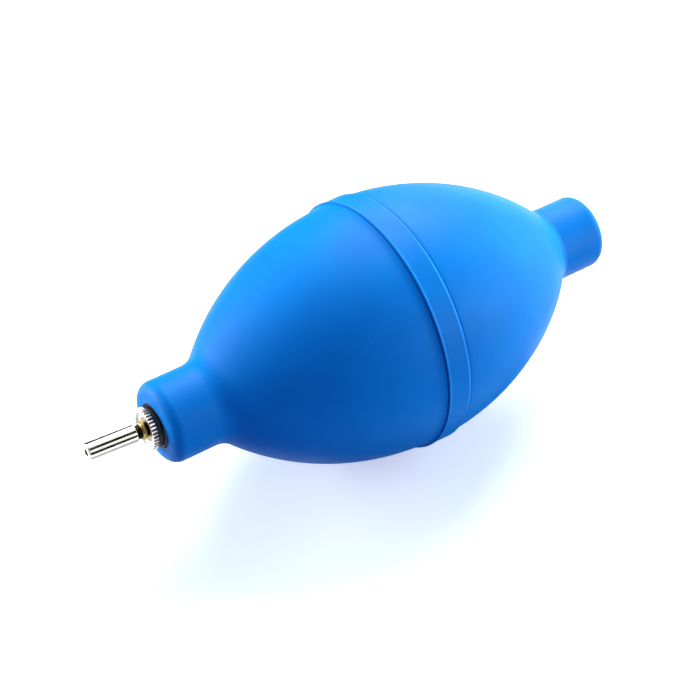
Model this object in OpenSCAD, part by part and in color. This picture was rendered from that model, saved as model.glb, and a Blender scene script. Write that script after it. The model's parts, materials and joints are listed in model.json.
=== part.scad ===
// Dust blower bulb with a one-way air inlet, lying on its side.
// +X runs along the bulb towards the tail, +Z is up, and the origin is on the
// surface that the bulb lies on, under the middle of its length.

/* [Bulb] */
// Radius that the nozzle side's wall has at the waist
front_crown_r = 24.4; // [24.3:0.05:24.8]
// Radius that the tail side's wall has at the waist
tail_crown_r = 24.6; // [24.3:0.05:24.8]
// Radius of the arc that the wall follows from the waist to a neck
wall_arc_r = 52; // [50:0.5:54]
// Thickness of the rubber wall
wall_t = 2.6; // [2.2:0.1:2.8]
// Distance from the waist to each end
half_len = 49.4; // [49:0.2:51]
// Where the two halves meet, measured from the waist towards the tail
joint_at = 0.5; // [0:0.1:1]
// Length of the lap inside the joint
lap_len = 3; // [2:0.5:5]

/* [Necks] */
// Outer radius of the front neck
front_neck_r = 7.9; // [7.7:0.1:8.5]
// Outer radius of the tail neck
tail_neck_r = 7.3; // [7.2:0.1:8]
// Fillet between the wall and the front neck
front_fillet = 5.5; // [3:0.5:6]
// Fillet between the wall and the tail neck
tail_fillet = 2.5; // [1.5:0.5:3]
// Rounding of the outer edge of each neck's end
end_round = 2.2; // [1.5:0.1:2.2]

/* [Band] */
// Outer radius of the raised band
band_r = 25; // [25:0.1:25.5]
// Width of the band
band_w = 5; // [4:0.2:6]
// Middle of the band, measured from the waist towards the tail
band_at = 0.54; // [0.3:0.02:0.7]
// Depth that the band is let into the rubber
band_depth = 1; // [0.8:0.1:1.2]

/* [Nozzle] */
// Angle between the nozzle and the bulb's axis
nozzle_tilt = 3.1; // [0:0.1:4]
// Direction of that tilt, turned from straight up towards +Y
nozzle_roll = 48; // [0:1:180]
// Outer radius of the tube
tube_r = 1.75; // [1.6:0.05:1.9]
// Radius of the air hole
air_r = 0.7; // [0.5:0.05:0.8]
// Length of the tube
tube_len = 9.7; // [8:0.1:14]
// Radius over the teeth of the collar
collar_r = 4.05; // [3.8:0.05:4.2]
// Number of teeth round the collar
teeth = 35; // [24:1:60]
// Radius of the thread that screws into the bush
thread_r = 2; // [1.9:0.05:2.1]
// Outer radius of the bush in the mouth of the neck
bush_r = 4.2; // [4.1:0.05:4.4]

/* [Inlet valve] */
// Outer radius of the housing in the tail neck
housing_r = 4.4; // [4.3:0.05:4.5]
// Radius of the pocket and of the chamber inside the housing
chamber_r = 3.5; // [3.4:0.05:3.5]
// Radius of the port that the disc closes
port_r = 1.5; // [1.2:0.1:1.7]
// Radius of the valve disc
disc_r = 2.6; // [2.4:0.1:2.8]
// Radius of the pin that guides the disc
pin_r = 0.6; // [0.5:0.05:0.7]
// Number of full turns of the spring
spring_turns = 5; // [4:1:6]

/* [Hidden] */
$fn = 96;

rubber_blue = "#1a86e0";
hard_black = "#1b1c20";
nickel = "#d9d7d2";
brass = "#c3a869";

// Bulb wall. Profiles hold [radius, distance from the waist].
cavity_arc_r = wall_arc_r - wall_t;
groove_r = band_r - band_depth;
lap_r = 23.2;
band_front = band_w / 2 - band_at;
band_tail = band_w / 2 + band_at;
wall_steps = 22;
round_steps = 6;

// Nozzle, measured outwards from the mouth of the front neck.
bush_len = 9.5;
bush_floor = 1;
bush_air_r = 1.5;
neck_bore_r = 2.8;
insert_r = 3;
insert_groove = 0.3;
washer_t = 1;
washer_r = 3.9;
collar_t = 1.1;
collar_hub_t = 0.6;
collar_recess_r = 3.3;
collar_bore_r = 2.4;
tooth_h = 0.22;
collar_edge = 0.2;
spigot_len = 7;
running_gap = 0.05;
neck_groove_r = 1.3;
bead_r = 1.8;
bead_w = 0.9;
bead_from = washer_t + collar_t;
bead_to = bead_from + bead_w;
tube_from = bead_to + 1;
tube_to = tube_from + tube_len;
tube_socket_r = 1.25;
tube_socket_len = 3;
tube_edge = 0.15;

// Tail fittings, measured from the waist.
housing_from = half_len - 13;
housing_to = half_len - 0.6;
web_from = half_len - 4.2;
web_t = 1.2;
tail_bore_r = 3.6;
seal_r = 4.25;
seal_wire_r = 0.55;
ring_r = 3.8;
ring_t = 0.6;
ring_bore_r = 2.8;
ring_gap = 2.2;
seat_t = 0.8;
disc_t = 0.7;
guide_t = 1;
guide_from = housing_from + 2;
guide_holes = 5;
guide_hole_r = 0.7;
guide_hole_at = 2;
felt_t = 0.7;
gauze_t = 0.3;
gauze_pitch = 0.7;
gauze_hole = 0.42;
gauze_open_r = 2.7;
pin_tail = 1.2;
spring_r = 1.2;
spring_wire_r = 0.15;

barb_len = 1.2;
barb_h = 0.45;

nozzle_reach = tube_to * cos(nozzle_tilt) + tube_r * sin(nozzle_tilt);
bulb_x = nozzle_reach / 2;

// Frames: a part is drawn about Z, then laid along the bulb or the nozzle.
module along_bulb() {
    translate([bulb_x, 0, band_r]) rotate([0, 90, 0]) children();
}

module along_nozzle() {
    translate([bulb_x - half_len, 0, band_r])
        rotate([-nozzle_roll, 0, 0]) rotate([0, nozzle_tilt - 90, 0])
            children();
}

module ring(outer, inner, from, thick) {
    translate([0, 0, from]) difference() {
        cylinder(r = outer, h = thick);
        translate([0, 0, -1]) cylinder(r = inner, h = thick + 2);
    }
}

module rod(r, from, to) {
    translate([0, 0, from]) cylinder(r = r, h = to - from);
}

// A ring of rectangular section with a gap, which springs into a groove.
module snap_ring(from) {
    difference() {
        ring(ring_r, ring_bore_r, from, ring_t);
        translate([0, -ring_gap / 2, from - 1])
            cube([ring_r + 1, ring_gap, ring_t + 2]);
    }
}

// Saw-tooth ridges that hold a fitting in a rubber neck: each one rises from
// the leading end, at lead, and ends in a step.
module barbs(r, lead, pitch, count) {
    for (i = [0 : count - 1])
        translate([0, 0, lead + i * pitch])
            cylinder(r1 = r, r2 = r + barb_h, h = barb_len);
}

// Outline of the rubber
function arc_points(c, r, from, to, n, first = 0) =
    [for (i = [first : n]) let (a = from + (to - from) * i / n)
        c + r * [cos(a), sin(a)]];

function arc_c(crown_r) = [crown_r - wall_arc_r, 0];

function fillet_c(crown_r, neck_r, fillet) =
    let (dr = neck_r + fillet - arc_c(crown_r)[0],
         reach = wall_arc_r + fillet)
        [neck_r + fillet, sqrt(reach * reach - dr * dr)];

function wall_end(crown_r, neck_r, fillet) =
    let (f = fillet_c(crown_r, neck_r, fillet) - arc_c(crown_r))
        atan2(f[1], f[0]);

function outer_points(crown_r, from, neck_r, fillet) =
    let (end = wall_end(crown_r, neck_r, fillet)) concat(
        arc_points(arc_c(crown_r), wall_arc_r, asin(from / wall_arc_r), end,
                   wall_steps),
        arc_points(fillet_c(crown_r, neck_r, fillet), fillet, end + 180, 180,
                   round_steps, 1),
        arc_points([neck_r - end_round, half_len - end_round], end_round,
                   0, 90, round_steps));

function cavity_points(crown_r, bore_r, to) =
    let (c = arc_c(crown_r))
        arc_points(c, cavity_arc_r, acos((bore_r - c[0]) / cavity_arc_r),
                   asin(to / cavity_arc_r), wall_steps);

function front_profile() =
    concat([[lap_r, -joint_at - lap_len], [lap_r, -joint_at],
            [groove_r, -joint_at], [groove_r, band_front]],
           outer_points(front_crown_r, band_front, front_neck_r,
                        front_fillet),
           [[neck_bore_r, half_len]],
           cavity_points(front_crown_r, neck_bore_r, -joint_at - lap_len));

function rear_profile() =
    concat([[groove_r, joint_at], [groove_r, band_tail]],
           outer_points(tail_crown_r, band_tail, tail_neck_r, tail_fillet),
           [[tail_bore_r, half_len]],
           cavity_points(tail_crown_r, tail_bore_r, joint_at + lap_len),
           [[lap_r, joint_at + lap_len], [lap_r, joint_at]]);

// Rubber bulb
module front_shell() {
    color(rubber_blue) difference() {
        along_bulb() mirror([0, 0, 1]) rotate_extrude()
            polygon(front_profile());
        along_nozzle() bush_space();
    }
}

module rear_shell() {
    color(rubber_blue) along_bulb() difference() {
        rotate_extrude() polygon(rear_profile());
        housing_outline();
        rod(housing_r, housing_to - 1, half_len + 1);
        seal_wire();
    }
}

module seam_band() {
    edge = 0.2;
    color(rubber_blue) along_bulb() rotate_extrude()
        polygon([[groove_r, -band_front], [band_r - edge, -band_front],
                 [band_r, edge - band_front], [band_r, band_tail - edge],
                 [band_r - edge, band_tail], [groove_r, band_tail]]);
}

// Front fittings
module bush_outline() {
    rod(bush_r, -bush_len, 0);
    barbs(bush_r, -bush_len + 1, 2.2, 3);
}

module bush_space() {
    bush_outline();
    rod(bush_r, -1, 2);
}

module insert_outline() {
    difference() {
        rod(insert_r, bush_floor - bush_len, 0);
        for (at = [-6.5, -4, -1.5])
            ring(insert_r + 1, insert_r - insert_groove, at, 0.8);
    }
}

module neck_bush() {
    color(hard_black) along_nozzle() difference() {
        bush_outline();
        insert_outline();
        rod(insert_r, -0.001, 1);
        rod(bush_air_r, -bush_len - 1, 0);
    }
}

module threaded_insert() {
    color(brass) along_nozzle() difference() {
        insert_outline();
        rod(thread_r, -bush_len, 1);
    }
}

module nozzle_washer() {
    color(hard_black) along_nozzle()
        ring(washer_r, thread_r + running_gap, 0, washer_t);
}

module nozzle_stem() {
    color(brass) along_nozzle() difference() {
        union() {
            rod(thread_r - running_gap, -spigot_len, washer_t);
            rod(collar_bore_r, washer_t, washer_t + collar_hub_t);
            rod(neck_groove_r, washer_t + collar_hub_t, tube_from);
            bead();
            rod(tube_socket_r, tube_from, tube_from + tube_socket_len);
        }
        rod(air_r, -spigot_len - 1, tube_to);
    }
}

// A rounded bead between two grooves
module bead() {
    half = bead_w / 2;
    rotate_extrude() polygon(concat(
        [[neck_groove_r - 0.2, bead_from]],
        arc_points([bead_r - half, bead_from + half], half, -90, 90, 8),
        [[neck_groove_r - 0.2, bead_to]]));
}

module knurled_collar() {
    tooth = 360 / teeth;
    color(nickel) along_nozzle() difference() {
        intersection() {
            translate([0, 0, washer_t]) linear_extrude(collar_t)
                polygon([for (i = [0 : 2 * teeth - 1])
                    (collar_r - (i % 2) * tooth_h)
                        * [cos(i * tooth / 2), sin(i * tooth / 2)]]);
            translate([0, 0, washer_t]) rotate_extrude()
                polygon([[0, 0], [collar_r - collar_edge, 0],
                         [collar_r, collar_edge],
                         [collar_r, collar_t - collar_edge],
                         [collar_r - collar_edge, collar_t],
                         [0, collar_t]]);
        }
        rod(collar_bore_r, 0, tube_from);
        rod(collar_recess_r, washer_t + collar_hub_t, tube_from);
    }
}

module nozzle_tube() {
    color(nickel) along_nozzle() rotate_extrude()
        polygon([[tube_socket_r, tube_from],
                 [tube_r - tube_edge, tube_from],
                 [tube_r, tube_from + tube_edge],
                 [tube_r, tube_to - tube_edge],
                 [tube_r - tube_edge, tube_to],
                 [air_r, tube_to],
                 [air_r, tube_from + tube_socket_len],
                 [tube_socket_r, tube_from + tube_socket_len]]);
}

// One-way inlet in the tail neck
module housing_outline() {
    rod(housing_r, housing_from, housing_to);
    barbs(housing_r, housing_from + 2.4, 1.9, 3);
}

module seal_wire() {
    translate([0, 0, web_from + web_t / 2]) rotate_extrude()
        translate([seal_r, 0]) circle(r = seal_wire_r, $fn = 24);
}

module valve_housing() {
    color(nickel) along_bulb() difference() {
        housing_outline();
        rod(chamber_r, housing_from - 1, web_from);
        rod(port_r, web_from - 1, web_from + web_t + 1);
        rod(chamber_r, web_from + web_t, housing_to + 1);
        rod(ring_r, guide_from - ring_t, guide_from);
        rod(ring_r, gauze_ring_from(), gauze_ring_from() + ring_t);
        seal_wire();
    }
}

module housing_seal() {
    color(hard_black) along_bulb() seal_wire();
}

module valve_seat() {
    color(hard_black) along_bulb()
        ring(chamber_r, port_r, web_from - seat_t, seat_t);
}

module valve_disc() {
    color(nickel) along_bulb()
        ring(disc_r, pin_r, web_from - seat_t - disc_t, disc_t);
}

module valve_stem() {
    color(nickel) along_bulb()
        rod(pin_r, guide_from - pin_tail, web_from - seat_t);
}

// A round wire wound between the guide and the disc, as rings of corners
// joined by quads, with flat caps.
module valve_spring() {
    sides = 6;
    per_turn = 18;
    low = guide_from + guide_t + spring_wire_r;
    high = web_from - seat_t - disc_t - spring_wire_r;
    steps = spring_turns * per_turn;
    points = [for (i = [0 : steps], j = [0 : sides - 1])
        let (a = i * 360 / per_turn, b = j * 360 / sides,
             r = spring_r + spring_wire_r * cos(b))
            [r * cos(a), r * sin(a),
             low + (high - low) * i / steps + spring_wire_r * sin(b)]];
    walls = [for (i = [0 : steps - 1], j = [0 : sides - 1])
        let (k = (j + 1) % sides)
            [i * sides + j, (i + 1) * sides + j,
             (i + 1) * sides + k, i * sides + k]];
    caps = [[for (j = [0 : sides - 1]) j],
            [for (j = [0 : sides - 1]) steps * sides + sides - 1 - j]];
    color(nickel) along_bulb()
        polyhedron(points, concat(walls, caps), convexity = 10);
}

module stem_guide() {
    color(nickel) along_bulb() difference() {
        rod(chamber_r, guide_from, guide_from + guide_t);
        rod(pin_r + running_gap, guide_from - 1, guide_from + guide_t + 1);
        for (i = [0 : guide_holes - 1])
            rotate([0, 0, i * 360 / guide_holes])
                translate([guide_hole_at, 0, 0])
                    rod(guide_hole_r, guide_from - 1,
                        guide_from + guide_t + 1);
    }
}

module guide_ring() {
    color(nickel) along_bulb() snap_ring(guide_from - ring_t);
}

function felt_from() = web_from + web_t;
function gauze_from() = felt_from() + felt_t;
function gauze_ring_from() = gauze_from() + gauze_t;

module filter_felt() {
    color("ivory") along_bulb()
        rod(chamber_r, felt_from(), felt_from() + felt_t);
}

module filter_gauze() {
    n = floor(gauze_open_r / gauze_pitch);
    color(nickel) along_bulb() difference() {
        rod(chamber_r, gauze_from(), gauze_from() + gauze_t);
        for (i = [-n : n], j = [-n : n])
            if (norm([i, j]) * gauze_pitch < gauze_open_r)
                translate([i * gauze_pitch, j * gauze_pitch,
                           gauze_from() + gauze_t / 2])
                    cube([gauze_hole, gauze_hole, 1], center = true);
    }
}

module gauze_ring() {
    color(nickel) along_bulb() snap_ring(gauze_ring_from());
}

front_shell();
rear_shell();
seam_band();
neck_bush();
threaded_insert();
nozzle_washer();
nozzle_stem();
knurled_collar();
nozzle_tube();
valve_housing();
housing_seal();
valve_seat();
valve_disc();
valve_stem();
valve_spring();
stem_guide();
guide_ring();
filter_felt();
filter_gauze();
gauze_ring();
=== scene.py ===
# %% [markdown]
# # A rubber dust blower
#
# A watchmaker's dust blower is a soft egg of blue rubber with a metal jet in
# one neck and a one-way air inlet in the other. Nearly all of it was turned
# on a lathe or moulded in a round cavity, so nearly all of it can be modelled
# the way a potter would: draw half a cross-section, then spin it.
#
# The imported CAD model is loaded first. It stays where it is and gives every
# position; the detailed pieces are built around it.

# %% Load the fixed frame
import json
import math

import bmesh
import bpy
from mathutils import Matrix, Vector, noise


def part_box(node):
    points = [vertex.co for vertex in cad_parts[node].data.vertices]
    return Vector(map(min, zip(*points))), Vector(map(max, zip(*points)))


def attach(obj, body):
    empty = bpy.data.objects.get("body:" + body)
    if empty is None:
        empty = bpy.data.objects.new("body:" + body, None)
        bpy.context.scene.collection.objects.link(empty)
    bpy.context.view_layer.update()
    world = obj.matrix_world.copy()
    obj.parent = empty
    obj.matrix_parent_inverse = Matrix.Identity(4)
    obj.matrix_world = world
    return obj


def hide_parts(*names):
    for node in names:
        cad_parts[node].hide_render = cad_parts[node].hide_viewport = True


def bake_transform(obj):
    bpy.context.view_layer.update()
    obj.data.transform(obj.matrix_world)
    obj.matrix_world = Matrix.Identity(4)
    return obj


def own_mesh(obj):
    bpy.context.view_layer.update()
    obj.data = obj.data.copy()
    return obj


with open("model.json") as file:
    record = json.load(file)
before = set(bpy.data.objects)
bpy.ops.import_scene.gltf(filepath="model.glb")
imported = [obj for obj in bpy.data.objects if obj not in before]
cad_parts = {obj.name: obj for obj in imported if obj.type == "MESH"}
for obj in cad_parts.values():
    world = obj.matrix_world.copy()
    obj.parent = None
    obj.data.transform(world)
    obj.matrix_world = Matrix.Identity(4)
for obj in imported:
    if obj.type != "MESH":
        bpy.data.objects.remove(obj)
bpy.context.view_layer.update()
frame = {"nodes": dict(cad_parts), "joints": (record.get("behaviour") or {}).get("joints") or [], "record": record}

joints = {joint["name"]: joint for joint in frame["joints"]}
mounts = {mount["name"]: mount for mount in frame["record"]["mounts"]}

# %% [markdown]
# ## Two axes to turn things about
#
# The bulb and its tail fittings share one axis. The jet sits a few degrees
# askew in its soft neck, so it has an axis of its own. Each axis becomes a
# matrix: pieces are drawn about Z in millimetres, and the matrix turns them
# into place in metres. The positions come from the frame: the ends of the two
# rubber halves give the bulb's middle, and the joint that unscrews the jet
# starts in the middle of the mouth.

# %% The bulb's axis and the nozzle's axis
MM = 0.001


def axis_frame(origin, direction):
    """Matrix that lays Z along a direction and turns mm to metres."""
    turn = Vector(direction).to_track_quat("Z", "Y").to_matrix().to_4x4()
    return Matrix.Translation(origin) @ turn @ Matrix.Scale(MM, 4)


front_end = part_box("front_shell")[0].x
tail_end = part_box("rear_shell")[1].x
waist_height = sum(corner.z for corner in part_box("seam_band")) / 2
waist = Vector(((front_end + tail_end) / 2, 0, waist_height))
HALF = (tail_end - front_end) / 2 / MM

TO_TAIL = axis_frame(waist, (1, 0, 0))
TO_FRONT = axis_frame(waist, (-1, 0, 0))
OUT_OF_MOUTH = axis_frame(joints["nozzle_turn"]["pos_m"],
                          joints["nozzle_turn"]["axis"])
print(f"half length {HALF:.2f} mm, waist at {waist.x / MM:.2f} mm")

# %% [markdown]
# ## Drawing a profile
#
# A turned part is never sharp: the tool leaves a small radius on each corner,
# and that radius is what catches the light. So a profile is a list of corners
# as (radius, distance along the axis, rounding), and one function replaces
# each corner by a short arc. Long curves are arcs worked out from their
# centre.

# %% Corners, arcs and rounded outlines
def arc(centre, radius, start, end, steps):
    """Points on an arc in the profile plane, angles in degrees."""
    points = []
    for i in range(steps + 1):
        a = math.radians(start + (end - start) * i / steps)
        points.append((centre[0] + radius * math.cos(a),
                       centre[1] + radius * math.sin(a)))
    return points


def rounded(corners, steps=4):
    """A closed outline, each corner (r, z, rounding) turned to an arc."""
    points = []
    count = len(corners)
    for i, (r, z, size) in enumerate(corners):
        here = Vector((r, z))
        before = Vector(corners[i - 1][:2]) - here
        after = Vector(corners[(i + 1) % count][:2]) - here
        if size <= 0:
            points.append((r, z))
            continue
        half = before.angle(after) / 2
        cut = min(size / math.tan(half), before.length * 0.49,
                  after.length * 0.49)
        first = here + before.normalized() * cut
        last = here + after.normalized() * cut
        for k in range(steps + 1):
            t = k / steps
            curve = (first * (1 - t) ** 2 + here * 2 * t * (1 - t)
                     + last * t ** 2)
            points.append((curve.x, curve.y))
    return points


# %% [markdown]
# ## Spinning it
#
# `bmesh.ops.spin` sweeps a loop of edges round an axis. With a full turn and
# `use_merge`, the last copy is welded to the first. The result is shaded
# smooth, with edges kept crisp where the surface turns by more than 35
# degrees.

# %% The lathe
def finish_piece(name, bm, place, body, replaced, crisp=35):
    """Turns a bmesh into a piece that rides on a body of the frame, or is fixed in place when given a tuple."""
    bmesh.ops.transform(bm, matrix=place, verts=bm.verts)
    mesh = bpy.data.meshes.new(name)
    bm.to_mesh(mesh)
    bm.free()
    mesh.shade_smooth()
    mesh.set_sharp_from_angle(angle=math.radians(crisp))
    piece = bpy.data.objects.new(name, mesh)
    bpy.context.scene.collection.objects.link(piece)
    if isinstance(body, tuple):
        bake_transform(piece)
    else:
        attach(piece, body)
    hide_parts(*replaced)
    print(f"{name}: {len(mesh.polygons)} faces")
    return piece


def draw_loop(bm, points):
    """A closed loop of edges in the XZ plane."""
    verts = [bm.verts.new((r, 0, z)) for r, z in points]
    for i, vert in enumerate(verts):
        bm.edges.new((verts[i - 1], vert))
    return verts


def spun(points, steps=96, bm=None):
    """A closed outline swept through a full turn about Z."""
    bm = bm or bmesh.new()
    verts = draw_loop(bm, points)
    edges = list({edge for vert in verts for edge in vert.link_edges})
    made = bmesh.ops.spin(bm, geom=verts + edges, cent=(0, 0, 0),
                          axis=(0, 0, 1), angle=math.tau, steps=steps,
                          use_merge=True, use_duplicate=False)
    bmesh.ops.remove_doubles(bm, verts=bm.verts, dist=1e-5)
    bmesh.ops.recalc_face_normals(bm, faces=bm.faces)
    return bm


# %% [markdown]
# ## Colour and nodes
#
# Colours are written as the hex values that a paint program shows, and one
# function turns them into the linear values that light is computed in. A
# second small function adds a node with its settings and links, so a material
# reads as a short recipe.

# %% Helpers for materials
def linear(hex_colour):
    """Linear RGBA from an sRGB hex colour."""
    channels = [int(hex_colour[i:i + 2], 16) / 255 for i in (1, 3, 5)]
    return [c / 12.92 if c <= 0.04045 else ((c + 0.055) / 1.055) ** 2.4
            for c in channels] + [1.0]


def add(tree, kind, inputs=None, **settings):
    """A new node, with settings on it and values or links into its sockets."""
    made = tree.nodes.new(kind)
    for key, value in settings.items():
        setattr(made, key, value)
    for socket, value in (inputs or {}).items():
        if isinstance(value, bpy.types.NodeSocket):
            tree.links.new(value, made.inputs[socket])
        else:
            made.inputs[socket].default_value = value
    return made


def new_material(name):
    """An empty material, its node tree and its Principled shader."""
    made = bpy.data.materials.new(name)
    made.use_nodes = True
    tree = made.node_tree
    tree.nodes.clear()
    shader = add(tree, "ShaderNodeBsdfPrincipled")
    add(tree, "ShaderNodeOutputMaterial", {"Surface": shader.outputs["BSDF"]})
    return made, tree, shader


def piece_space(tree, place):
    """Coordinates in millimetres about a piece's own axis."""
    where = add(tree, "ShaderNodeTexCoord").outputs["Object"]
    return add(tree, "ShaderNodeMapping",
               {"Vector": where, "Location": place.to_translation(),
                "Rotation": place.to_euler(), "Scale": [MM] * 3},
               vector_type="TEXTURE").outputs["Vector"]


def blotches(tree, space, size, detail=2.0, rough=0.5):
    """Smooth noise whose blobs are about size millimetres across."""
    return add(tree, "ShaderNodeTexNoise",
               {"Vector": space, "Scale": 1 / size, "Detail": detail,
                "Roughness": rough}).outputs["Fac"]


def span(tree, value, low, high, to_low, to_high):
    """Maps a value from one range to another, clamped."""
    return add(tree, "ShaderNodeMapRange",
               {"Value": value, "From Min": low, "From Max": high,
                "To Min": to_low, "To Max": to_high}).outputs["Result"]


def mix(tree, share, first, second, blend_type="MIX"):
    """A colour between two colours, or two blended."""
    made = add(tree, "ShaderNodeMix", data_type="RGBA", blend_type=blend_type)
    for index, value in ((0, share), (6, first), (7, second)):
        if isinstance(value, bpy.types.NodeSocket):
            tree.links.new(value, made.inputs[index])
        else:
            made.inputs[index].default_value = value
    return made.outputs[2]


def bump(tree, height, depth_mm, strength=1.0, normal=None):
    """A bump whose height of 1 stands depth_mm proud."""
    made = add(tree, "ShaderNodeBump",
               {"Height": height, "Distance": depth_mm * MM,
                "Strength": strength})
    if normal is not None:
        tree.links.new(normal, made.inputs["Normal"])
    return made.outputs["Normal"]


# %% [markdown]
# ## Blue rubber
#
# The bulb is silicone rubber, moulded in a cavity that was lightly blasted,
# so it has a satin skin: a broad soft shine and a very fine grain. The
# pigment is strong, and it lies a little unevenly. Rubber also pulls dust to
# itself, which shows as rare pale specks. The grain is finer than the picture
# can hold, so it is drawn at a quarter of a millimetre.

# %% Moulded silicone
RUBBER_HEX = "#067fd8"
RUBBER_DEEP_HEX = "#0475cd"
DUST_HEX = "#8fc4ee"
GRAIN_MM = 0.25
CLOUD_MM = 14
SPECK_MM = 1.7


def moulded_silicone():
    made, tree, shader = new_material("moulded_silicone_blue")
    space = piece_space(tree, TO_TAIL)
    cloud = blotches(tree, space, CLOUD_MM, 3)
    grain = blotches(tree, space, GRAIN_MM, 2, 0.6)
    pigment = mix(tree, span(tree, cloud, 0.35, 0.65, 0, 1),
                  linear(RUBBER_HEX), linear(RUBBER_DEEP_HEX))
    speckled = mix(tree, span(tree, grain, 0.35, 0.65, 0, 0.35), pigment,
                   linear(RUBBER_DEEP_HEX))
    cells = add(tree, "ShaderNodeTexVoronoi",
                {"Vector": space, "Scale": 1 / SPECK_MM, "Randomness": 1.0})
    chosen = span(tree, add(tree, "ShaderNodeSeparateColor",
                            {"Color": cells.outputs["Color"]}).outputs["Red"],
                  0.93, 0.94, 0, 1)
    dot = span(tree, cells.outputs["Distance"], 0.03, 0.07, 1, 0)
    dust = add(tree, "ShaderNodeMath", {0: chosen, 1: dot},
               operation="MULTIPLY").outputs[0]
    soft_dust = add(tree, "ShaderNodeMath", {0: dust, 1: 0.35},
                    operation="MULTIPLY").outputs[0]
    colour = mix(tree, soft_dust, speckled, linear(DUST_HEX))
    tree.links.new(colour, shader.inputs["Base Color"])
    tree.links.new(span(tree, cloud, 0.3, 0.7, 0.44, 0.54),
                   shader.inputs["Roughness"])
    shader.inputs["IOR"].default_value = 1.41
    shader.inputs["Specular IOR Level"].default_value = 0.13
    soft = bump(tree, blotches(tree, space, 2.6, 3), 0.03)
    fine = bump(tree, grain, 0.006, 0.8, soft)
    tree.links.new(bump(tree, dust, 0.02, 1.0, fine), shader.inputs["Normal"])
    return made


BLUE = moulded_silicone()

# %% [markdown]
# ## Black rubber
#
# The washer, the seals and the bush are black nitrile rubber. Carbon black
# makes it nearly lightless, with a dull sheen and a faint grey bloom where
# wax has risen to the surface.

# %% Nitrile rubber
def nitrile_rubber(place):
    made, tree, shader = new_material("nitrile_rubber_black")
    space = piece_space(tree, place)
    bloom = blotches(tree, space, 0.9, 4, 0.6)
    colour = mix(tree, span(tree, bloom, 0.45, 0.75, 0, 1),
                 linear("#0c0e14"), linear("#20242c"))
    tree.links.new(colour, shader.inputs["Base Color"])
    tree.links.new(span(tree, bloom, 0.3, 0.7, 0.42, 0.6),
                   shader.inputs["Roughness"])
    shader.inputs["IOR"].default_value = 1.52
    grain = blotches(tree, space, 0.12, 2)
    tree.links.new(bump(tree, grain, 0.008), shader.inputs["Normal"])
    return made


# %% [markdown]
# ## Turned metal
#
# The jet and the inlet's housing are brass, turned on a lathe and nickel
# plated, which gives a warm silver mirror. The stem between them is bare
# brass that has begun to tarnish. On both, the tool has left rings of fine
# grooves that run round the axis: bands across Z, stretched by a noise that
# reads Z alone. Springs, wire and snap rings are drawn stainless steel.

# %% One recipe for the metals
GROOVE_STEM_R = 1.3


def turned_metal(name, place, bright, dull, roughness, groove_mm, groove_depth,
                 tarnish=0.0):
    made, tree, shader = new_material(name)
    space = piece_space(tree, place)
    along = add(tree, "ShaderNodeSeparateXYZ",
                {"Vector": space}).outputs["Z"]
    grooves = add(tree, "ShaderNodeTexNoise",
                  {"W": along, "Scale": 1 / groove_mm, "Detail": 2.0},
                  noise_dimensions="1D").outputs["Fac"]
    stain = blotches(tree, space, 0.8, 4, 0.65)
    share = span(tree, stain, 0.5 - tarnish * 0.3, 0.75, 0, 0.25 + tarnish)
    colour = mix(tree, share, linear(bright), linear(dull))
    tree.links.new(colour, shader.inputs["Base Color"])
    shader.inputs["Metallic"].default_value = 1.0
    tree.links.new(span(tree, stain, 0.3, 0.8, roughness, roughness * 2.2),
                   shader.inputs["Roughness"])
    tree.links.new(bump(tree, grooves, groove_depth),
                   shader.inputs["Normal"])
    return made


def nickel_plate(place):
    return turned_metal("nickel_plated_brass", place, "#e9e6df", "#cfc8bb",
                        0.09, 0.09, 0.0012)


def bare_brass(place):
    """Brass, with painted shade in its grooves: whatever lies near its axis is darkened."""
    made = turned_metal("turned_brass_tarnished", place, "#b9a775", "#5c4e2c",
                        0.22, 0.07, 0.004, 0.5)
    tree = made.node_tree
    shader = next(n for n in tree.nodes if n.type == "BSDF_PRINCIPLED")
    clean = shader.inputs["Base Color"].links[0].from_socket
    flat = add(tree, "ShaderNodeVectorMath",
               {0: piece_space(tree, place), 1: (1, 1, 0)},
               operation="MULTIPLY").outputs[0]
    radius = add(tree, "ShaderNodeVectorMath", {0: flat},
                 operation="LENGTH").outputs["Value"]
    # Painted shade: surfaces close to the axis, the floors of the stem's grooves, are darkened to near black.
    painted_groove_shade = span(tree, radius, GROOVE_STEM_R + 0.02, GROOVE_STEM_R + 0.3, 1,
                 0)
    tree.links.new(mix(tree, painted_groove_shade, clean, linear("#1e160b")),
                   shader.inputs["Base Color"])
    return made


def satin_nickel(place):
    """Nickel over a knurl: duller, with painted shade between the teeth."""
    made = turned_metal("nickel_plated_brass_satin", place, "#efece6",
                        "#d8d2c6", 0.26, 0.09, 0.0012)
    tree = made.node_tree
    shader = next(n for n in tree.nodes if n.type == "BSDF_PRINCIPLED")
    clean = shader.inputs["Base Color"].links[0].from_socket
    depth = add(tree, "ShaderNodeAttribute",
                attribute_name="gap").outputs["Fac"]
    # Painted shade: the metal is darkened by how deep it lies between the teeth.
    painted_tooth_shade = span(tree, depth, 0.25, 0.75, 0, 0.95)
    tree.links.new(mix(tree, painted_tooth_shade, clean, linear("#2e2a20")),
                   shader.inputs["Base Color"])
    return made


def drawn_steel(place):
    return turned_metal("drawn_stainless_wire", place, "#9fa0a0", "#7f8182",
                        0.2, 0.05, 0.002)


NITRILE_FRONT = nitrile_rubber(OUT_OF_MOUTH)
NITRILE_TAIL = nitrile_rubber(TO_TAIL)
NICKEL_FRONT = nickel_plate(OUT_OF_MOUTH)
NICKEL_SATIN = satin_nickel(OUT_OF_MOUTH)
NICKEL_TAIL = nickel_plate(TO_TAIL)
BRASS_FRONT = bare_brass(OUT_OF_MOUTH)
BRASS_TAIL = bare_brass(TO_TAIL)
STEEL = drawn_steel(TO_TAIL)

# %% [markdown]
# ## Felt
#
# The inlet's filter is pressed wool felt: pale, matt, and made of short
# fibres lying in every direction. A stretched noise gives the fibres.

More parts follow.
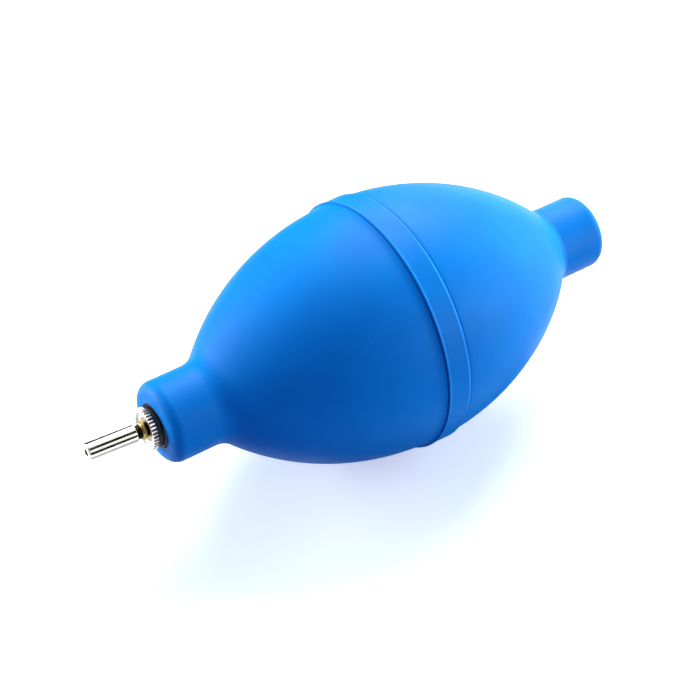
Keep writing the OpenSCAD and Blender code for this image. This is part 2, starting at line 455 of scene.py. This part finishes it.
# %% Pressed wool felt
def wool_felt():
    made, tree, shader = new_material("pressed_wool_felt")
    space = piece_space(tree, TO_TAIL)
    tangle = add(tree, "ShaderNodeTexNoise",
                 {"Vector": space, "Scale": 1 / 0.35, "Detail": 6.0,
                  "Roughness": 0.7, "Distortion": 2.5}).outputs["Fac"]
    colour = mix(tree, span(tree, tangle, 0.3, 0.7, 0, 1),
                 linear("#cfc9b8"), linear("#f1eee4"))
    tree.links.new(colour, shader.inputs["Base Color"])
    shader.inputs["Roughness"].default_value = 0.95
    shader.inputs["Sheen Weight"].default_value = 0.4
    tree.links.new(bump(tree, tangle, 0.12), shader.inputs["Normal"])
    return made


FELT = wool_felt()

# %% [markdown]
# ## The rubber halves
#
# Each half is one closed profile: from the joint under the band, out over the
# egg, down the fillet into the neck, round the soft end, in through the mouth
# and back along the inside of the wall. The egg's wall follows a single arc
# whose centre lies beyond the axis, which is why the bulb is pointed like a
# lemon and not round like a ball. Both halves are fixed in place.

# %% Profile of one half
FRONT_CROWN_R = 24.4
TAIL_CROWN_R = 24.6
WALL_ARC_R = 52
WALL = 2.6
JOINT = 0.5
LAP = 3
LAP_R = 23.2
GROOVE_R = 24
BAND_R = 25
BAND_FRONT = 1.96
BAND_TAIL = 3.04
END_ROUND = 2.2


def egg_wall(crown_r, offset, neck_r, fillet, steps=46):
    """The outer wall from beside the band to the straight of the neck."""
    dr = neck_r + fillet - crown_r + WALL_ARC_R
    reach = WALL_ARC_R + fillet
    along = math.sqrt(reach ** 2 - dr ** 2)
    turn = math.degrees(math.atan2(along, dr))
    start = math.degrees(math.asin(offset / WALL_ARC_R))
    return (arc((crown_r - WALL_ARC_R, 0), WALL_ARC_R, start, turn, steps)
            + arc((neck_r + fillet, along), fillet, turn + 180, 180, 14)[1:])


def neck_end(neck_r, mouth_r, lip=0.3):
    """The rounded end of a neck and the small lip of its mouth."""
    return (arc((neck_r - END_ROUND, HALF - END_ROUND), END_ROUND, 0, 84, 12)
            + arc((mouth_r + lip, HALF - lip), lip, 90, 180, 5))


def inner_wall(crown_r, bore_r, offset, steps=30):
    """The cavity from the neck back to the lap joint."""
    radius = WALL_ARC_R - WALL
    middle = crown_r - WALL_ARC_R
    start = math.degrees(math.acos((bore_r - middle) / radius))
    end = math.degrees(math.asin(offset / radius))
    return arc((middle, 0), radius, start, end, steps)


# %% [markdown]
# On the nozzle's side the rubber climbs to the band in a soft ramp about two
# millimetres wide, and a narrow slit is left between the two. The ramp turns
# away from the light and the slit stays dark, so the band is drawn with a
# crisp line that fades towards the nozzle. On the tail's side there is only a
# low step.

# %% Front and rear rubber
FRONT_NECK_R = 7.9
TAIL_NECK_R = 7.3
FRONT_FILLET = 5.5
TAIL_FILLET = 2.5
MOUTH_R = 4.24
NECK_BORE_R = 5.4
SEAT_DEPTH = 10.4
SHOULDER_R = 2.8
TAIL_MOUTH_R = 4.42
TAIL_BORE_R = 3.6
SQUEEZED = ("bulb_front", "bulb_rear", waist - Vector((0.036, 0, 0)),
            waist + Vector((0.036, 0, 0)))
SPIN_STEPS = 200
SLIT = 0.16
RAMP_LEN = 2.1
RAMP_H = 0.36
RAMP_STEPS = 12
RAMP_CURVE = 2.5


def front_profile():
    ramp = [(GROOVE_R + 0.1, BAND_FRONT + 0.02),
            (GROOVE_R + 0.12, BAND_FRONT + SLIT - 0.04)]
    for i in range(RAMP_STEPS):
        beside = SLIT + (RAMP_LEN - SLIT) * i / RAMP_STEPS
        drop = (BAND_FRONT + beside) ** 2 / (2 * WALL_ARC_R)
        climb = RAMP_H * (1 - beside / RAMP_LEN) ** RAMP_CURVE
        ramp.append((FRONT_CROWN_R - drop + climb, BAND_FRONT + beside))
    neck = [(MOUTH_R, HALF - 1.2), (NECK_BORE_R, HALF - 1.5),
            (NECK_BORE_R, HALF - SEAT_DEPTH),
            (SHOULDER_R, HALF - SEAT_DEPTH - 0.2)]
    return ([(LAP_R, -JOINT - LAP), (LAP_R, -JOINT), (GROOVE_R, -JOINT),
             (GROOVE_R, BAND_FRONT)] + ramp
            + egg_wall(FRONT_CROWN_R, BAND_FRONT + RAMP_LEN, FRONT_NECK_R,
                       FRONT_FILLET)
            + neck_end(FRONT_NECK_R, MOUTH_R) + neck
            + inner_wall(FRONT_CROWN_R, SHOULDER_R, -JOINT - LAP))


def rear_profile():
    step = [(GROOVE_R, BAND_TAIL), (GROOVE_R + 0.36, BAND_TAIL + 0.03),
            (GROOVE_R + 0.46, BAND_TAIL + 0.16)]
    neck = [(TAIL_MOUTH_R, HALF - 12.6), (TAIL_BORE_R, HALF - 12.7)]
    return ([(GROOVE_R, JOINT)] + step
            + egg_wall(TAIL_CROWN_R, BAND_TAIL + 0.5, TAIL_NECK_R,
                       TAIL_FILLET)
            + neck_end(TAIL_NECK_R, TAIL_MOUTH_R)
            + inner_wall(TAIL_CROWN_R, TAIL_MOUTH_R, JOINT + LAP)
            + [(LAP_R, JOINT + LAP), (LAP_R, JOINT)])


def rubber_piece(name, profile, place, node):
    bm = spun(profile, SPIN_STEPS)
    piece = finish_piece(name, bm, place, SQUEEZED, [node], 50)
    piece.data.materials.append(BLUE)
    return piece


rubber_piece("front_rubber", front_profile(), TO_FRONT, "front_shell")
rubber_piece("rear_rubber", rear_profile(), TO_TAIL, "rear_shell")

# %% [markdown]
# ## The band
#
# A belt of the same rubber covers the joint. Its front edge stands up in a low
# ridge, a tenth of a millimetre high, and its rear edge slopes down over half
# a millimetre. Both are there because both catch a bright line.

# %% Band
band_corners = [(GROOVE_R, -BAND_FRONT, 0), (BAND_R, -BAND_FRONT, 0.12),
                (BAND_R, 0.26 - BAND_FRONT, 0.08),
                (BAND_R - 0.13, 0.58 - BAND_FRONT, 0.15),
                (BAND_R - 0.06, BAND_TAIL - 0.5, 0.25),
                (GROOVE_R + 0.62, BAND_TAIL + 0.02, 0.08),
                (GROOVE_R, BAND_TAIL, 0)]
rubber_piece("middle_band", rounded(band_corners, 5), TO_TAIL, "seam_band")

# %% [markdown]
# ## The jet
#
# From the mouth outwards: a black washer, a knurled collar that fingers can
# grip, a stem with a bead between two grooves, and the tube. The stem carries
# the thread. A thread is a small triangle swept round and forward at the same
# time, which `spin` does when it is given a step along the axis.

# %% Sizes along the nozzle, outwards from the mouth
tube_middle = (Vector(mounts["nozzle_outside"]["pos_m"])
               - Vector(joints["nozzle_turn"]["pos_m"])).length / MM
TUBE_LEN = 9.7
TUBE_FROM = tube_middle - TUBE_LEN / 2
TUBE_TO = TUBE_FROM + TUBE_LEN
TUBE_R = 1.75
AIR_R = 0.7
SOCKET_R = 1.25
SOCKET_LEN = 3
WASHER_T = 1.0
COLLAR_T = 1.1
COLLAR_TO = WASHER_T + COLLAR_T
HUB_TO = WASHER_T + 0.6
RECESS_R = 3.3
COLLAR_R = 4.05
STEM_SHOULDER_R = 2.4
THREAD_R = 2
PITCH = 0.7
THREAD_DEPTH = 0.36
SPIGOT_LEN = 7


def helix_ridge(bm, radius, depth, start, length, inward=False, lift=0.0):
    """A V-shaped ridge wound round Z at the thread's pitch."""
    root = radius if inward else radius - depth
    crest = radius - depth if inward else radius
    sunk = 0.06 if inward else -0.06
    half = PITCH * 0.34
    tip = PITCH * 0.06
    section = [(root + sunk, start + lift - half), (root, start + lift - half),
               (crest, start + lift - tip), (crest, start + lift + tip),
               (root, start + lift + half),
               (root + sunk, start + lift + half)]
    verts = draw_loop(bm, section)
    edges = list({edge for vert in verts for edge in vert.link_edges})
    first = bmesh.ops.contextual_create(bm, geom=edges)["faces"]
    turns = length / PITCH
    steps = int(turns * 40)
    bmesh.ops.spin(bm, geom=first + edges + verts, cent=(0, 0, 0),
                   axis=(0, 0, 1), dvec=(0, 0, length / steps),
                   angle=math.tau * turns, steps=steps, use_merge=False,
                   use_duplicate=False)
    bmesh.ops.recalc_face_normals(bm, faces=bm.faces)


# %% Tube
tube_corners = [(SOCKET_R, TUBE_FROM, 0.05), (TUBE_R, TUBE_FROM, 0.22),
                (TUBE_R, TUBE_TO, 0.26), (AIR_R, TUBE_TO, 0.12),
                (AIR_R, TUBE_FROM + SOCKET_LEN, 0),
                (SOCKET_R, TUBE_FROM + SOCKET_LEN, 0)]
tube = finish_piece("jet_tube", spun(rounded(tube_corners, 6), 96),
                    OUT_OF_MOUTH, "nozzle", ["nozzle_tube"])
tube.data.materials.append(NICKEL_FRONT)

# %% Stem with its bead and thread
BEAD_R = 1.8
BEAD_HALF = 0.45
CORE_R = THREAD_R - 0.05 - THREAD_DEPTH
stem_outline = (
    [(AIR_R, -SPIGOT_LEN), (CORE_R - 0.2, -SPIGOT_LEN),
     (CORE_R, -SPIGOT_LEN + 0.2), (CORE_R, WASHER_T - 0.3),
     (STEM_SHOULDER_R, WASHER_T), (STEM_SHOULDER_R, HUB_TO - 0.06),
     (STEM_SHOULDER_R - 0.06, HUB_TO), (GROOVE_STEM_R, HUB_TO + 0.02),
     (GROOVE_STEM_R, COLLAR_TO)]
    + arc((BEAD_R - BEAD_HALF, COLLAR_TO + BEAD_HALF), BEAD_HALF, -90, 90, 12)
    + [(GROOVE_STEM_R, COLLAR_TO + 2 * BEAD_HALF + 0.02),
       (GROOVE_STEM_R, TUBE_FROM - 0.05), (SOCKET_R, TUBE_FROM),
       (SOCKET_R, TUBE_FROM + SOCKET_LEN - 0.05),
       (AIR_R, TUBE_FROM + SOCKET_LEN - 0.05)])
stem_bm = spun(stem_outline, 96)
helix_ridge(stem_bm, THREAD_R - 0.05, THREAD_DEPTH, -SPIGOT_LEN + 0.4,
            SPIGOT_LEN - 0.4)
stem = finish_piece("jet_stem", stem_bm, OUT_OF_MOUTH, "nozzle",
                    ["nozzle_stem"])
stem.data.materials.append(BRASS_FRONT)

# %% [markdown]
# The collar's knurling is straight: thirty-five teeth pressed in by a wheel.
# The ring is spun with six steps to a tooth, and the vertices on its rim are
# then pushed in along a wave, deepest between the teeth.

# %% Knurled collar
TEETH = 35
STEPS_PER_TOOTH = 6
TOOTH_DEPTH = 0.3
collar_corners = [(STEM_SHOULDER_R + 0.01, WASHER_T, 0.04),
                  (COLLAR_R - 0.26, WASHER_T, 0.02),
                  (COLLAR_R, WASHER_T + 0.16, 0.03),
                  (COLLAR_R, COLLAR_TO - 0.16, 0.03),
                  (COLLAR_R - 0.26, COLLAR_TO, 0.03),
                  (RECESS_R, COLLAR_TO, 0.08),
                  (RECESS_R, HUB_TO, 0.1),
                  (STEM_SHOULDER_R + 0.01, HUB_TO, 0.02)]
collar_bm = spun(rounded(collar_corners, 3), TEETH * STEPS_PER_TOOTH)
# The gap attribute records depth between the teeth; the satin nickel paints shade from it.
gap = collar_bm.verts.layers.float.new("gap")
for vert in collar_bm.verts:
    radius = math.hypot(vert.co.x, vert.co.y)
    if radius > COLLAR_R - 0.26:
        turn = math.atan2(vert.co.y, vert.co.x) / math.tau * TEETH
        wave = 0.5 - 0.5 * math.cos(math.tau * turn)
        cut = TOOTH_DEPTH * wave
        new_radius = min(radius, COLLAR_R - cut)
        vert.co.x *= new_radius / radius
        vert.co.y *= new_radius / radius
        vert[gap] = wave
collar = finish_piece("knurled_ring", collar_bm, OUT_OF_MOUTH, "nozzle",
                      ["knurled_collar"], 25)
collar.data.materials.append(NICKEL_SATIN)

# %% Washer, bush and threaded insert
WASHER_R = 3.95
washer_corners = [(THREAD_R + 0.06, 0.01, 0.1), (WASHER_R, 0.01, 0.22),
                  (WASHER_R, WASHER_T - 0.01, 0.22),
                  (THREAD_R + 0.06, WASHER_T - 0.01, 0.1)]
washer = finish_piece("mouth_washer", spun(rounded(washer_corners, 5), 96),
                      OUT_OF_MOUTH, "nozzle_seal",
                      ["nozzle_washer"])
washer.data.materials.append(NITRILE_FRONT)

BUSH_R = 4.2
BUSH_LEN = 9.5
INSERT_R = 3
BARB_H = 0.45
bush_outline = [(INSERT_R, 0), (BUSH_R - 0.15, 0), (BUSH_R, -0.15)]
for i in range(3):
    step_at = -BUSH_LEN + 1 + 1.2 + 2.2 * (2 - i)
    bush_outline += [(BUSH_R, step_at + 0.02),
                     (BUSH_R + BARB_H - 0.06, step_at),
                     (BUSH_R + BARB_H, step_at - 0.08),
                     (BUSH_R, step_at - 1.2)]
bush_outline += [(BUSH_R - 0.3, -BUSH_LEN), (1.5, -BUSH_LEN),
                 (1.5, -BUSH_LEN + 1), (INSERT_R, -BUSH_LEN + 1)]
bush = finish_piece("mouth_bush", spun(bush_outline, 96), OUT_OF_MOUTH,
                    "bulb_front", ["neck_bush"])
bush.data.materials.append(NITRILE_FRONT)

insert_outline = [(THREAD_R, -0.03), (INSERT_R - 0.12, -0.02),
                  (INSERT_R, -0.14)]
for at in (-1.5, -4, -6.5):
    insert_outline += [(INSERT_R, at + 0.8), (INSERT_R - 0.3, at + 0.72),
                       (INSERT_R - 0.3, at + 0.08), (INSERT_R, at)]
insert_outline += [(INSERT_R, -BUSH_LEN + 1), (THREAD_R, -BUSH_LEN + 1)]
insert_bm = spun(insert_outline, 96)
helix_ridge(insert_bm, THREAD_R, THREAD_DEPTH - 0.06, -SPIGOT_LEN + 0.4,
            SPIGOT_LEN - 0.9, inward=True, lift=PITCH / 2)
insert = finish_piece("thread_insert", insert_bm, OUT_OF_MOUTH, "bulb_front",
                      ["threaded_insert"])
insert.data.materials.append(BRASS_FRONT)

# %% [markdown]
# ## The inlet
#
# Air comes back into the bulb through the tail: past a snap ring, a woven
# wire gauze and a felt disc, through a port, and past a sprung disc that only
# opens inwards. From outside, the ring, the gauze and the rim of the nickel
# housing show, set a little way into the rubber.

# %% Valve housing
HOUSING_R = 4.4
CHAMBER_R = 3.5
PORT_R = 1.5
HOUSING_FROM = HALF - 13
HOUSING_TO = HALF - 0.6
WEB_FROM = HALF - 4.2
WEB_T = 1.2
RING_R = 3.8
RING_T = 0.6
FELT_FROM = WEB_FROM + WEB_T
FELT_T = 0.7
GAUZE_FROM = FELT_FROM + FELT_T
GAUZE_T = 0.3
GAUZE_RING_FROM = GAUZE_FROM + GAUZE_T
GUIDE_FROM = HOUSING_FROM + 2
GUIDE_T = 1
SEAL_R = 4.25
SEAL_WIRE_R = 0.55
SEAL_AT = WEB_FROM + WEB_T / 2

housing_outline = [(CHAMBER_R, HOUSING_FROM), (HOUSING_R - 0.2, HOUSING_FROM),
                   (HOUSING_R, HOUSING_FROM + 0.2)]
for i in range(3):
    lead = HOUSING_FROM + 2.4 + 1.9 * i
    housing_outline += [(HOUSING_R, lead),
                        (HOUSING_R + BARB_H, lead + 1.15),
                        (HOUSING_R + BARB_H - 0.08, lead + 1.2),
                        (HOUSING_R, lead + 1.22)]
housing_outline += [(HOUSING_R, SEAL_AT - 0.56)]
housing_outline += arc((SEAL_R, SEAL_AT), SEAL_WIRE_R + 0.01, 286, 74, 14)
housing_outline += [(HOUSING_R, HOUSING_TO - 0.14),
                    (HOUSING_R - 0.04, HOUSING_TO - 0.04),
                    (HOUSING_R - 0.14, HOUSING_TO),
                    (CHAMBER_R + 0.2, HOUSING_TO),
                    (CHAMBER_R + 0.06, HOUSING_TO - 0.04),
                    (CHAMBER_R, HOUSING_TO - 0.2),
                    (CHAMBER_R, GAUZE_RING_FROM + RING_T),
                    (RING_R, GAUZE_RING_FROM + RING_T),
                    (RING_R, GAUZE_RING_FROM), (CHAMBER_R, GAUZE_RING_FROM),
                    (CHAMBER_R, FELT_FROM), (PORT_R, FELT_FROM),
                    (PORT_R, WEB_FROM), (CHAMBER_R, WEB_FROM),
                    (CHAMBER_R, GUIDE_FROM), (RING_R, GUIDE_FROM),
                    (RING_R, GUIDE_FROM - RING_T),
                    (CHAMBER_R, GUIDE_FROM - RING_T)]
housing = finish_piece("inlet_housing", spun(housing_outline, 128), TO_TAIL,
                       "bulb_rear", ["valve_housing"])
housing.data.materials.append(NICKEL_TAIL)

# %% Seal and valve seat
seal_outline = arc((SEAL_R, SEAL_AT), SEAL_WIRE_R - 0.01, 0, 345, 23)
seal = finish_piece("housing_o_ring", spun(seal_outline, 96), TO_TAIL,
                    "bulb_rear", ["housing_seal"])
seal.data.materials.append(NITRILE_TAIL)

SEAT_T = 0.8
seat_corners = [(PORT_R + 0.02, WEB_FROM - SEAT_T, 0.15),
                (CHAMBER_R - 0.01, WEB_FROM - SEAT_T, 0.15),
                (CHAMBER_R - 0.01, WEB_FROM - 0.01, 0.1),
                (PORT_R + 0.02, WEB_FROM - 0.01, 0.1)]
seat = finish_piece("seat_ring", spun(rounded(seat_corners), 96), TO_TAIL,
                    "bulb_rear", ["valve_seat"])
seat.data.materials.append(NITRILE_TAIL)

# %% [markdown]
# The moving part of the valve is a brass disc on a thin steel pin, a little
# thicker round the pin on the side away from the seat. The spring
# behind it is a wire swept along a helix, again with `spin` and a step along
# the axis.

# %% Valve disc, pin and spring
DISC_R = 2.6
DISC_T = 0.7
PIN_R = 0.6
disc_top = WEB_FROM - SEAT_T
disc_corners = [(PIN_R, disc_top - DISC_T, 0.02),
                (PIN_R + 0.35, disc_top - DISC_T, 0.05),
                (PIN_R + 0.45, disc_top - DISC_T + 0.15, 0.05),
                (DISC_R, disc_top - DISC_T + 0.15, 0.08),
                (DISC_R, disc_top - 0.01, 0.12), (PIN_R, disc_top - 0.01, 0)]
disc = finish_piece("inlet_disc_plate", spun(rounded(disc_corners), 96),
                    TO_TAIL, "inlet_disc", ["valve_disc"])
disc.data.materials.append(BRASS_TAIL)

pin_from = GUIDE_FROM - 1.2
pin_outline = [(0, pin_from), (0.3, pin_from),
               (PIN_R - 0.01, pin_from + 0.3),
               (PIN_R - 0.01, disc_top - 0.05),
               (PIN_R - 0.06, disc_top - 0.01),
               (0, disc_top - 0.01)]
pin = finish_piece("guide_pin", spun(pin_outline, 48), TO_TAIL, "inlet_disc",
                   ["valve_stem"])
pin.data.materials.append(STEEL)

SPRING_R = 1.2
WIRE_R = 0.15
SPRING_TURNS = 5
spring_low = GUIDE_FROM + GUIDE_T + WIRE_R + 0.01
spring_high = disc_top - DISC_T - WIRE_R - 0.01
spring_bm = bmesh.new()
wire = bmesh.ops.create_circle(
    spring_bm, cap_ends=True, segments=12, radius=WIRE_R,
    matrix=Matrix.Translation((SPRING_R, 0, spring_low))
    @ Matrix.Rotation(math.pi / 2, 4, "X"))["verts"]
wire_edges = list({edge for vert in wire for edge in vert.link_edges})
spring_steps = SPRING_TURNS * 36
bmesh.ops.spin(spring_bm, geom=wire + wire_edges + list(spring_bm.faces),
               cent=(0, 0, 0), axis=(0, 0, 1),
               dvec=(0, 0, (spring_high - spring_low) / spring_steps),
               angle=math.tau * SPRING_TURNS, steps=spring_steps,
               use_merge=False, use_duplicate=False)
bmesh.ops.recalc_face_normals(spring_bm, faces=spring_bm.faces)
spring = finish_piece("inlet_spring", spring_bm, TO_TAIL, "bulb_rear",
                      ["valve_spring"])
spring.data.materials.append(STEEL)
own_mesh(spring)

# %% [markdown]
# ## Gauze, felt and snap rings
#
# The gauze is plain weave: every wire goes over one and under the next. Each
# wire is a small circle that is extruded step by step along a wave, one set
# of wires along X and one along Y, with the waves a half step apart.

# %% Woven gauze
GAUZE_PITCH = 0.42
GAUZE_WIRE_R = 0.075
GAUZE_R = CHAMBER_R - 0.06
gauze_middle = GAUZE_FROM + GAUZE_T / 2


def woven_wire(bm, offset, sign, turn):
    """One wire across the disc, bent over and under its neighbours."""
    reach = math.sqrt(GAUZE_R ** 2 - offset ** 2)
    count = max(2, int(2 * reach / (GAUZE_PITCH / 4)))
    path = []
    for i in range(count + 1):
        x = -reach + 2 * reach * i / count
        height = sign * GAUZE_WIRE_R * math.cos(math.pi * x / GAUZE_PITCH)
        path.append(turn @ Vector((x, offset, gauze_middle + height)))
    ring = bmesh.ops.create_circle(
        bm, cap_ends=True, segments=6, radius=GAUZE_WIRE_R,
        matrix=Matrix.Translation(path[0]) @ turn
        @ Matrix.Rotation(math.pi / 2, 4, "Y"))["verts"]
    edges = list({edge for vert in ring for edge in vert.link_edges})
    for before, here in zip(path, path[1:]):
        grown = bmesh.ops.extrude_edge_only(bm, edges=edges)["geom"]
        ring = [g for g in grown if isinstance(g, bmesh.types.BMVert)]
        edges = [g for g in grown if isinstance(g, bmesh.types.BMEdge)]
        bmesh.ops.translate(bm, verts=ring, vec=here - before)
    bmesh.ops.contextual_create(bm, geom=edges)


gauze_bm = bmesh.new()
wires = int(GAUZE_R / GAUZE_PITCH)
for i in range(-wires, wires + 1):
    sign = 1 if i % 2 else -1
    woven_wire(gauze_bm, i * GAUZE_PITCH, sign, Matrix.Identity(4))
    woven_wire(gauze_bm, i * GAUZE_PITCH, -sign,
               Matrix.Rotation(math.pi / 2, 4, "Z"))
bmesh.ops.recalc_face_normals(gauze_bm, faces=gauze_bm.faces)
gauze = finish_piece("inlet_gauze", gauze_bm, TO_TAIL, "bulb_rear",
                     ["filter_gauze"], 60)
gauze.data.materials.append(STEEL)

# %% Felt disc
felt_corners = [(0, FELT_FROM + 0.02, 0),
                (CHAMBER_R - 0.02, FELT_FROM + 0.02, 0.15),
                (CHAMBER_R - 0.02, FELT_FROM + FELT_T - 0.03, 0.2),
                (0, FELT_FROM + FELT_T - 0.03, 0)]
felt_bm = spun(rounded(felt_corners, 5), 96)
felt = finish_piece("felt_disc", felt_bm, TO_TAIL, "bulb_rear",
                    ["filter_felt"])
felt.data.materials.append(FELT)

# %% [markdown]
# A snap ring is a ring with a gap, so that it can be pinched and let go in
# its groove. Here the profile is spun through less than a full turn and its
# two ends are capped.

# %% Snap rings
RING_BORE_R = 2.8
RING_OPEN = math.radians(38)


def snap_ring(name, start, node):
    bm = bmesh.new()
    corners = [(RING_BORE_R, start + 0.01, 0.1),
               (RING_R - 0.02, start + 0.01, 0.1),
               (RING_R - 0.02, start + RING_T - 0.01, 0.12),
               (RING_BORE_R, start + RING_T - 0.01, 0.12)]
    verts = draw_loop(bm, rounded(corners, 4))
    bmesh.ops.rotate(bm, verts=verts, cent=(0, 0, 0),
                     matrix=Matrix.Rotation(RING_OPEN / 2, 3, "Z"))
    edges = list({edge for vert in verts for edge in vert.link_edges})
    first = bmesh.ops.contextual_create(bm, geom=edges)["faces"]
    bmesh.ops.spin(bm, geom=first + edges + verts, cent=(0, 0, 0),
                   axis=(0, 0, 1), angle=math.tau - RING_OPEN, steps=90,
                   use_merge=False, use_duplicate=False)
    bmesh.ops.recalc_face_normals(bm, faces=bm.faces)
    ring = finish_piece(name, bm, TO_TAIL, "bulb_rear", [node])
    ring.data.materials.append(STEEL)
    return ring


snap_ring("gauze_snap_ring", GAUZE_RING_FROM, "gauze_ring")
snap_ring("guide_snap_ring", GUIDE_FROM - RING_T, "guide_ring")

# %% [markdown]
# The guide plate behind the spring is a flat disc with round holes. The CAD
# shape is already right, so it stays and takes the brass.

# %% Guide plate
guide = frame["nodes"]["stem_guide"]
guide.data.materials.clear()
guide.data.materials.append(BRASS_TAIL)

# %% [markdown]
# ## Floor, light and camera
#
# Bright metal shows its surroundings, so the light here has two jobs. Large
# soft panels light the rubber from the right and from above, and narrow
# cards, unseen by the camera, give the tube its dark lines.
#
# The floor is a product table: matt white acrylic, lit a little from below so
# that it looks plain white. It is hidden from diffuse rays, because its light
# would wash out the deep blue under the bulb.

# %% Floor
FLOOR_WIDTH = 30
FLOOR_TOOTH_PER_M = 900.0
FLOOR_GLOW = 0.3


def plane(name, centre, facing, width, height, material):
    bm = bmesh.new()
    bmesh.ops.create_grid(bm, x_segments=1, y_segments=1, size=0.5)
    turn = Vector(facing).to_track_quat("Z", "Y").to_matrix().to_4x4()
    size = Matrix.Diagonal((width, height, 1, 1))
    bmesh.ops.transform(bm, verts=bm.verts,
                        matrix=Matrix.Translation(centre) @ turn @ size)
    mesh = bpy.data.meshes.new(name)
    bm.to_mesh(mesh)
    bm.free()
    made = bpy.data.objects.new(name, mesh)
    made.data.materials.append(material)
    bpy.context.scene.collection.objects.link(made)
    return made


def lit_acrylic():
    made, tree, shader = new_material("matt_white_acrylic_lit")
    where = add(tree, "ShaderNodeTexCoord").outputs["Object"]
    tooth = add(tree, "ShaderNodeTexNoise",
                {"Vector": where, "Scale": FLOOR_TOOTH_PER_M}).outputs["Fac"]
    colour = mix(tree, span(tree, tooth, 0.3, 0.7, 0, 1), linear("#f7f8f9"),
                 linear("#fbfbfc"))
    tree.links.new(colour, shader.inputs["Base Color"])
    shader.inputs["Roughness"].default_value = 0.9
    shader.inputs["Emission Color"].default_value = linear("#ffffff")
    shader.inputs["Emission Strength"].default_value = FLOOR_GLOW
    return made


floor = plane("floor", (0, 0, 0), (0, 0, 1), FLOOR_WIDTH, FLOOR_WIDTH,
              lit_acrylic())
floor.visible_diffuse = False
floor.visible_shadow = False

# %% Soft panels
PANEL_AT = 0.9
PANEL_SIZE = 0.6
PANEL_HEX = "#fffdf2"
PANELS = {"key_back_right": (45, 45, 12.0), "side_right": (0, 10, 10.5),
          "rim_back_left": (135, 10, 13.0), "front_right": (315, 10, 5.5)}


def direction(turn, rise):
    """Unit vector from a compass turn about Z and a rise above the floor."""
    t, r = math.radians(turn), math.radians(rise)
    return Vector((math.cos(t) * math.cos(r), math.sin(t) * math.cos(r),
                   math.sin(r)))


for name, (turn, rise, power) in PANELS.items():
    light = bpy.data.lights.new(name, "AREA")
    light.shape = "SQUARE"
    light.size = PANEL_SIZE
    light.energy = power
    light.color = linear(PANEL_HEX)[:3]
    made = bpy.data.objects.new(name, light)
    toward = direction(turn, rise)
    made.location = waist + toward * PANEL_AT
    made.rotation_euler = (-toward).to_track_quat("-Z", "Y").to_euler()
    made.visible_glossy = name != "side_right"
    bpy.context.scene.collection.objects.link(made)

# %% [markdown]
# The side panel is hidden from shine. It faces the tail squarely, and its
# reflection would turn the inlet's metal into one white spot.
#
# The room itself is dim and bluish where it fills the shadows. What shines
# off metal is brighter: a white tent on the tail's side that fades towards
# the nozzle's side.

# %% Room
world = bpy.data.worlds.new("studio")
world.use_nodes = True
bpy.context.scene.world = world
room = world.node_tree
room.nodes.clear()
sight = add(room, "ShaderNodeTexCoord").outputs["Generated"]
toward_tail = add(room, "ShaderNodeSeparateXYZ",
                  {"Vector": sight}).outputs["X"]
fill = add(room, "ShaderNodeBackground",
           {"Color": linear("#5d92c4"), "Strength": 0.8})
tent = add(room, "ShaderNodeBackground",
           {"Color": linear("#ffffff"),
            "Strength": span(room, toward_tail, -0.4, 0.2, 0.1, 1.25)})
shine = add(room, "ShaderNodeLightPath").outputs["Is Glossy Ray"]
both = add(room, "ShaderNodeMixShader", {0: shine, 1: fill.outputs[0],
                                         2: tent.outputs[0]})
add(room, "ShaderNodeOutputWorld", {"Surface": both.outputs[0]})
bpy.context.scene.view_settings.view_transform = "Standard"

# %% [markdown]
# Two black cards give the tube its two dark lines, a grey one behind it draws
# its upper edge, and a beige one under it warms its lower side. A line along
# a bright rod shows what lies at one angle about the rod's axis, so each card
# is a strip along the axis, placed where its reflection falls on the line
# wanted.

# %% Cards
CARD_LEN = 0.16
CARD_FORWARD = 0.46


def card(name, spot, rise, distance, width, shade="#050505"):
    """A strip parallel to the tube that only shines see."""
    made, tree, shader = new_material(name + "_velvet")
    shader.inputs["Base Color"].default_value = linear(shade)
    shader.inputs["Roughness"].default_value = 1.0
    shader.inputs["Specular IOR Level"].default_value = 0.0
    r = math.radians(rise)
    facing = Vector((0, math.cos(r), -math.sin(r)))
    centre = spot - facing * distance + Vector((distance * CARD_FORWARD,
                                                 0, 0))
    strip = plane(name, centre, facing, CARD_LEN, width, made)
    strip.visible_camera = False
    strip.visible_diffuse = False
    strip.visible_shadow = False


tube_spot = Vector(mounts["nozzle_outside"]["pos_m"])
card("card_high", tube_spot, 63.5, 0.25, 0.135)
card("card_low", tube_spot, 8, 0.11, 0.06)
card("card_back", tube_spot, 171, 0.1, 0.085, "#404040")
card("card_under", tube_spot, -50, 0.028, 0.02, "#b9b2a4")

# %% [markdown]
# The camera looks down on the bulb from the nozzle's side with a long lens,
# as a product shot does. Its direction is an azimuth and an elevation; the
# target is a point just beside the bulb's middle, so that the bulb sits a
# little high and to the right in the frame.

# %% Camera
VIEW_AZIMUTH = -34.54
VIEW_ELEVATION = 42.36
VIEW_DISTANCE = 415.5 * MM
LENS = 113.14
OFF_CENTRE = (5.59 * MM, 5.24 * MM)

a, e = math.radians(VIEW_AZIMUTH), math.radians(VIEW_ELEVATION)
back = Vector((math.sin(a) * math.cos(e), -math.cos(a) * math.cos(e),
               math.sin(e)))
right = Vector((math.cos(a), math.sin(a), 0))
up = back.cross(right)
target = waist - right * OFF_CENTRE[0] - up * OFF_CENTRE[1]

lens = bpy.data.cameras.new("camera")
lens.lens = LENS
lens.sensor_width = 36
camera = bpy.data.objects.new("camera", lens)
camera.location = target + back * VIEW_DISTANCE
camera.rotation_mode = "QUATERNION"
camera.rotation_quaternion = (-back).to_track_quat("-Z", "Y")
lens.clip_start, lens.clip_end = 0.01, 50
bpy.context.scene.collection.objects.link(camera)
bpy.context.scene.camera = camera
